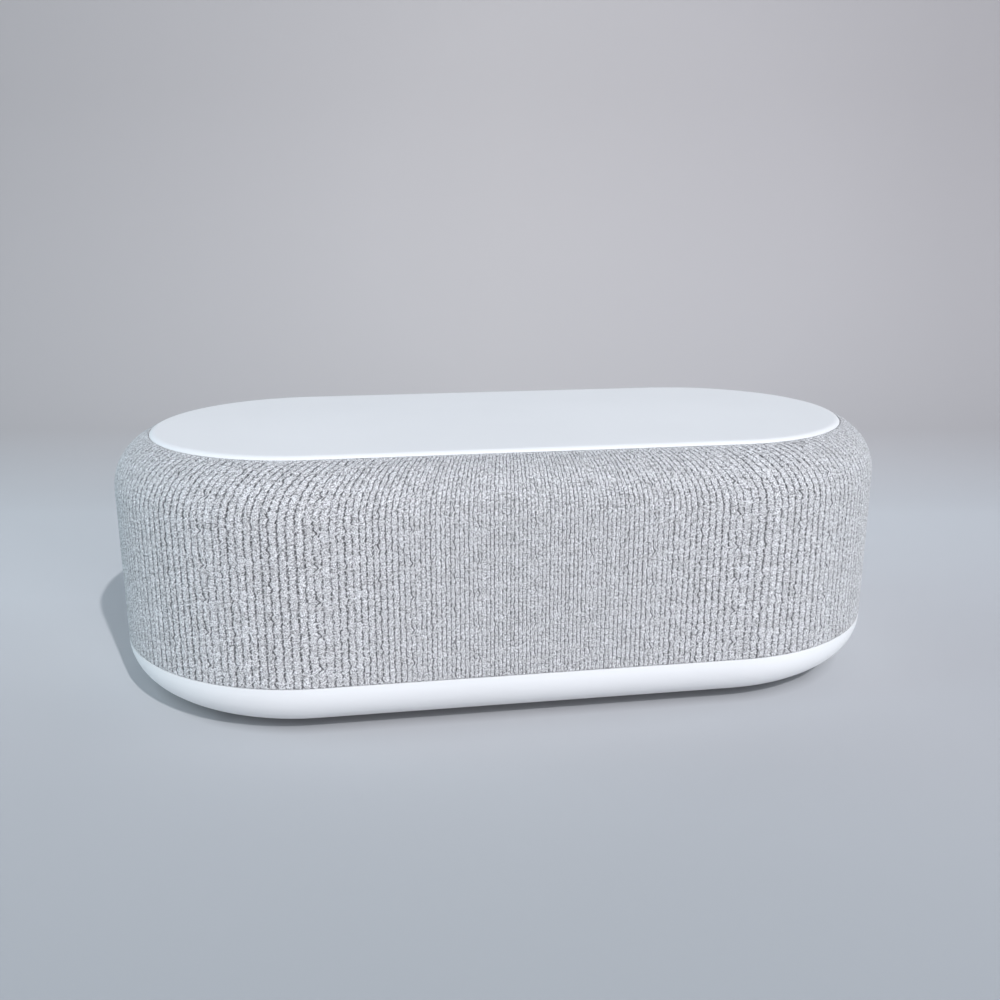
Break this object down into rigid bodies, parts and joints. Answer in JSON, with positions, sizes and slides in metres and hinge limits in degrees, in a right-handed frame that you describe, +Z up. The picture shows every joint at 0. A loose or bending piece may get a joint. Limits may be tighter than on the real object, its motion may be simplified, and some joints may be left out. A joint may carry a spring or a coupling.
{
  "type": "smart speaker",
  "caption": "Low stadium-shaped smart speaker wrapped in light grey rib knit, with a white wireless charging plate on top and a white bullnose base.",
  "frame": {"origin": "on the floor under the middle of the speaker", "axes": "+X along the length, to the right seen from the front; +Y towards the rear controls, so the front faces -Y; +Z up"},
  "size_m": [0.266, 0.1313, 0.088],
  "materials": {
    "base_white": "satin moulded",
    "basket_steel": "pressed and painted",
    "board_green": "solder mask",
    "button_white": "satin moulded",
    "cell_wrap": "shrink wrap",
    "connector_white": "moulded",
    "copper": "enamelled wire",
    "ferrite": "sintered",
    "knit": "melange rib knit",
    "lead_black": "insulated wire",
    "lead_red": "insulated wire",
    "panel_white": "satin moulded",
    "paper": "pressed paper",
    "parts_black": "moulded",
    "plate_white": "fine satin",
    "radiator_metal": "anodised",
    "rubber_black": "matt",
    "rubber_grey": "matt",
    "shell_grey": "moulded",
    "spider_cloth": "treated cloth",
    "steel": "zinc plated",
    "tin": "tinned"
  },
  "bodies": {
    "speaker": {"base_pan": "base_white", "rubber_feet": "rubber_grey", "base_screws": "steel", "base_gasket": "rubber_black", "fabric_sleeve": "knit", "housing": "shell_grey", "top_plate": "plate_white", "plate_screws": "steel", "coil_tray": "shell_grey", "ferrite_sheet": "ferrite", "charging_coil": "copper", "charger_board": "board_green", "charger_parts": "parts_black", "main_board": "board_green", "shield_can": "tin", "board_capacitors": "tin", "board_connectors": "connector_white", "board_screws": "steel", "battery_tray": "parts_black", "battery_cover": "parts_black", "battery_cells": "cell_wrap", "battery_lead": "lead_red", "rear_panel": "panel_white", "io_board": "board_green", "button_switches": "parts_black", "mute_switch": "parts_black", "usb_socket": "steel", "mic_board": "board_green", "mic_capsules": "tin", "driver_gaskets": "rubber_black", "speaker_screws": "steel", "speaker_leads": "lead_black", "coil_lead": "lead_black", "board_leads": "lead_black", "left_basket": "basket_steel", "left_surround": "rubber_black", "left_spider": "spider_cloth", "left_washer": "steel", "left_magnet": "ferrite", "left_yoke": "steel", "left_radiator_frame": "parts_black", "left_radiator_surround": "rubber_black", "right_basket": "basket_steel", "right_surround": "rubber_black", "right_spider": "spider_cloth", "right_washer": "steel", "right_magnet": "ferrite", "right_yoke": "steel", "right_radiator_frame": "parts_black", "right_radiator_surround": "rubber_black"},
    "power_button": {"power_button": "button_white"},
    "volume_down_button": {"volume_down_button": "button_white"},
    "volume_up_button": {"volume_up_button": "button_white"},
    "mute_slider": {"mute_slider": "button_white"},
    "left_cone": {"left_cone": "paper", "left_voice_coil": "copper"},
    "right_cone": {"right_cone": "paper", "right_voice_coil": "copper"},
    "left_radiator": {"left_radiator_plate": "radiator_metal"},
    "right_radiator": {"right_radiator_plate": "radiator_metal"}
  },
  "joints": [
    {"name": "power_button_press", "type": "slide", "parent": "speaker", "child": "power_button", "axis": [0, -1, 0], "range_m": [0, 0.0006], "stiffness_N_per_m": 1500},
    {"name": "volume_down_button_press", "type": "slide", "parent": "speaker", "child": "volume_down_button", "axis": [0, -1, 0], "range_m": [0, 0.0006], "stiffness_N_per_m": 1500},
    {"name": "volume_up_button_press", "type": "slide", "parent": "speaker", "child": "volume_up_button", "axis": [0, -1, 0], "range_m": [0, 0.0006], "stiffness_N_per_m": 1500},
    {"name": "mute_slide", "type": "slide", "parent": "speaker", "child": "mute_slider", "axis": [1, 0, 0], "range_m": [0, 0.003]},
    {"name": "left_cone_stroke", "type": "slide", "parent": "speaker", "child": "left_cone", "axis": [0, -1, 0], "range_m": [-0.0015, 0.0015], "stiffness_N_per_m": 1500, "deforming": ["left_surround", "left_spider"]},
    {"name": "right_cone_stroke", "type": "slide", "parent": "speaker", "child": "right_cone", "axis": [0, -1, 0], "range_m": [-0.0015, 0.0015], "stiffness_N_per_m": 1500, "deforming": ["right_surround", "right_spider"]},
    {"name": "left_radiator_stroke", "type": "slide", "parent": "speaker", "child": "left_radiator", "axis": [0, 1, 0], "range_m": [-0.002, 0.002], "stiffness_N_per_m": 900, "deforming": ["left_radiator_surround"]},
    {"name": "right_radiator_stroke", "type": "slide", "parent": "speaker", "child": "right_radiator", "axis": [0, 1, 0], "range_m": [-0.002, 0.002], "stiffness_N_per_m": 900, "deforming": ["right_radiator_surround"]}
  ]
}
